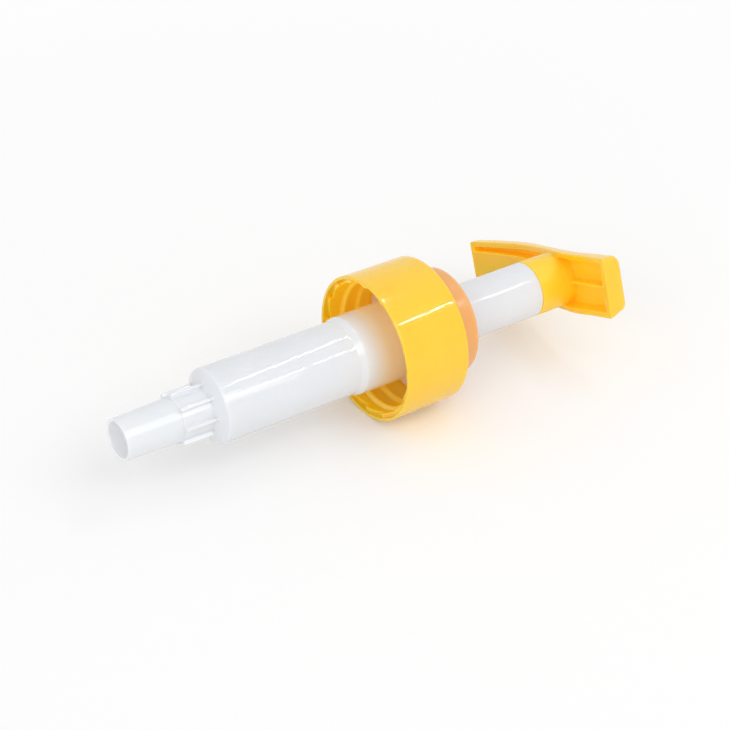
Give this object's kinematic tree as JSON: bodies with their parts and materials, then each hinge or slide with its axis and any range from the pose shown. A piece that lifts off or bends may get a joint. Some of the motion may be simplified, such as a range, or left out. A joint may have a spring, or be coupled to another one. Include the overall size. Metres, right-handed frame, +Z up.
{
  "type": "condiment pump dispenser",
  "caption": "Hand pump for a condiment bottle: screw cap, piston barrel with ribbed neck and dip tube socket, spring-loaded stem and a saddle-shaped press head with a spout.",
  "frame": {"origin": "on the pump axis, in the plane where the gasket seals on the bottle's mouth", "axes": "+X along the pump axis towards the press head, +Z up with the pump lying on its side"},
  "size_m": [0.1524, 0.062, 0.0425],
  "materials": {
    "yellow_plastic": "glossy injection-moulded polypropylene, opaque yellow",
    "white_plastic": "glossy injection-moulded polypropylene, milky white",
    "orange_plastic": "satin injection-moulded polypropylene, pale orange",
    "foam_seal": "matt expanded polyethylene",
    "natural_plastic": "natural low-density polyethylene",
    "wiper_rubber": "soft pale elastomer",
    "spring_steel": "drawn stainless wire",
    "ball_steel": "polished stainless steel"
  },
  "bodies": {
    "housing": {"housing": "white_plastic", "neck_gasket": "foam_seal", "locking_collar": "orange_plastic", "guide_bush": "natural_plastic", "stem_wiper": "wiper_rubber", "ball_cage": "white_plastic", "return_spring": "spring_steel"},
    "cap": {"screw_cap": "yellow_plastic"},
    "plunger_piston": {"piston": "natural_plastic"},
    "plunger": {"stem": "white_plastic", "pump_head": "yellow_plastic", "piston_retainer": "white_plastic"},
    "lower_ball": {"inlet_ball": "ball_steel"},
    "upper_ball": {"outlet_ball": "ball_steel"}
  },
  "joints": [
    {"name": "plunger_slide", "type": "slide", "parent": "housing", "child": "plunger_piston", "axis": [-1, 0, 0], "range_m": [0, 0.0283], "stiffness_N_per_m": 350, "springref_m": -0.03, "deforming": ["return_spring"]},
    {"name": "head_swivel", "type": "hinge", "parent": "plunger_piston", "child": "plunger", "pos_m": [0, 0, 0], "axis": [1, 0, 0], "continuous": true},
    {"name": "cap_spin", "type": "hinge", "parent": "housing", "child": "cap", "pos_m": [0, 0, 0], "axis": [1, 0, 0], "continuous": true},
    {"name": "inlet_ball_lift", "type": "slide", "parent": "housing", "child": "lower_ball", "axis": [1, 0, 0], "range_m": [0, 0.0025]},
    {"name": "outlet_ball_lift", "type": "slide", "parent": "plunger", "child": "upper_ball", "axis": [1, 0, 0], "range_m": [0, 0.002]}
  ]
}
